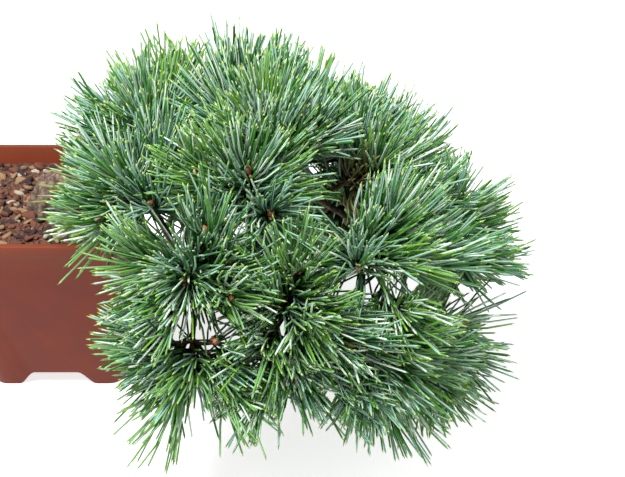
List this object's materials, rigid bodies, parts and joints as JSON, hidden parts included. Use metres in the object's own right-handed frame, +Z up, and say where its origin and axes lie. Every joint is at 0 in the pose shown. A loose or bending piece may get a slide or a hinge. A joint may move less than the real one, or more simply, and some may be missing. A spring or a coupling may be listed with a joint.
{
  "type": "potted japanese white pine",
  "caption": "Small pine with a leaning trunk and a rounded dome of blue-green needle tufts, in a square brown training pot.",
  "frame": {"origin": "on the ground, at the middle of the pad under the pot's floor", "axes": "+Z up; -Y is the side that the picture looks at; +X is to the right in the picture, the way the trunk leans"},
  "size_m": [0.4341, 0.3561, 0.2934],
  "materials": {
    "pot_plastic": "satin",
    "soil": "matte",
    "bark": "matte",
    "needles": "matte"
  },
  "bodies": {
    "root": {"bough_back_left": "bark", "bough_back_left_low": "bark", "bough_back_low": "bark", "bough_back_low_right": "bark", "bough_back_mid": "bark", "bough_back_right": "bark", "bough_back_right_mid": "bark", "bough_back_top": "bark", "bough_centre_front": "bark", "bough_far_right": "bark", "bough_left_back": "bark", "bough_left_front": "bark", "bough_low_front": "bark", "bough_low_left": "bark", "bough_low_right": "bark", "bough_right_back_low": "bark", "bough_right_back_mid": "bark", "bough_right_end": "bark", "bough_right_front": "bark", "bough_right_upper": "bark", "bough_top_front": "bark", "bough_upper_left": "bark", "needles_back_left": "needles", "needles_back_left_low": "needles", "needles_back_low": "needles", "needles_back_low_right": "needles", "needles_back_mid": "needles", "needles_back_right": "needles", "needles_back_right_mid": "needles", "needles_back_top": "needles", "needles_centre_front": "needles", "needles_far_right": "needles", "needles_left_back": "needles", "needles_left_front": "needles", "needles_low_front": "needles", "needles_low_left": "needles", "needles_low_right": "needles", "needles_right_back_low": "needles", "needles_right_back_mid": "needles", "needles_right_end": "needles", "needles_right_front": "needles", "needles_right_upper": "needles", "needles_tip": "needles", "needles_top_front": "needles", "needles_upper_left": "needles", "pot": "pot_plastic", "soil": "soil", "trunk": "bark"}
  },
  "joints": []
}
